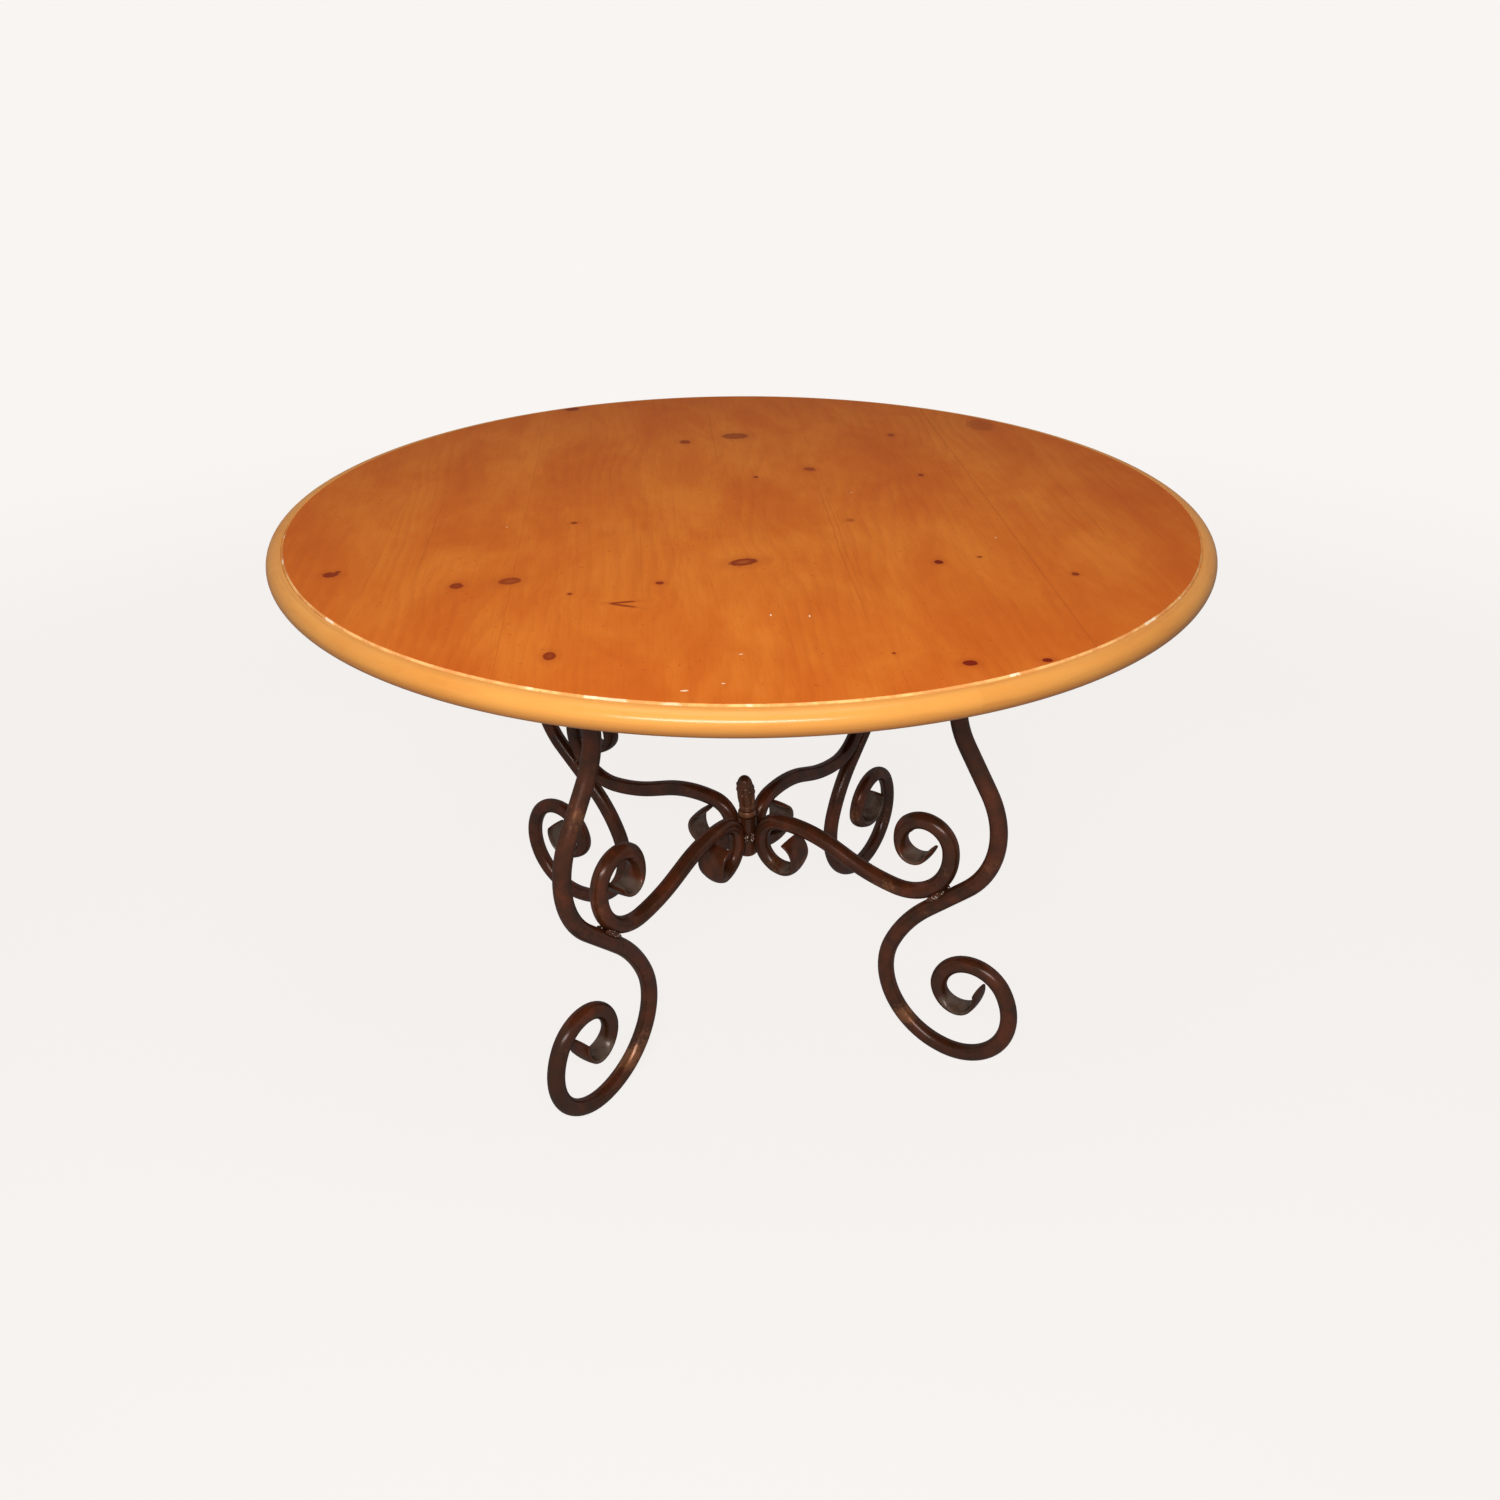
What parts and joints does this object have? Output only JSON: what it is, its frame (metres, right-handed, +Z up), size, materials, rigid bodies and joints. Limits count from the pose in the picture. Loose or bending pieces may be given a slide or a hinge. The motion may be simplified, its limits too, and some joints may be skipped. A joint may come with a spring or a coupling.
{
  "type": "dining table",
  "caption": "Round dining table with a knotty pine top, a half-round moulded rim and a wrought-iron base of scrolled legs and scrolled stretchers joined at a central post with a bud finial",
  "frame": {"origin": "on the floor, under the middle of the round top", "axes": "+Z up; +X towards the front-right leg and +Y towards the back-right leg of the picture; the other legs stand at -X and -Y"},
  "size_m": [1.2198, 1.2198, 0.774],
  "materials": {
    "pine_panel": "knotty pine boards in a honey-orange stain under satin varnish",
    "pine_rim": "pine moulding in a lighter honey stain under gloss varnish",
    "batten_wood": "plain sawn pine, unvarnished",
    "bronzed_iron": "wrought iron with a dark bronze finish rubbed through to reddish brown on its outer bends",
    "screw_steel": "plain steel wood screws"
  },
  "bodies": {
    "root": {"top_board_1": "pine_panel", "top_board_2": "pine_panel", "top_board_3": "pine_panel", "top_board_4": "pine_panel", "top_board_5": "pine_panel", "top_board_6": "pine_panel", "top_board_7": "pine_panel", "rim_segment_1": "pine_rim", "rim_segment_2": "pine_rim", "rim_segment_3": "pine_rim", "rim_segment_4": "pine_rim", "rim_segment_5": "pine_rim", "rim_segment_6": "pine_rim", "rim_segment_7": "pine_rim", "rim_segment_8": "pine_rim", "batten_1": "batten_wood", "batten_2": "batten_wood", "batten_screws": "screw_steel", "mounting_ring": "bronzed_iron", "ring_screws": "screw_steel", "leg_front_right": "bronzed_iron", "leg_back_right": "bronzed_iron", "leg_back_left": "bronzed_iron", "leg_front_left": "bronzed_iron", "stretcher_front_right": "bronzed_iron", "stretcher_back_right": "bronzed_iron", "stretcher_back_left": "bronzed_iron", "stretcher_front_left": "bronzed_iron", "hub_post": "bronzed_iron", "hub_collar": "bronzed_iron", "hub_neck": "bronzed_iron", "hub_bud": "bronzed_iron", "welds": "bronzed_iron"}
  },
  "joints": []
}
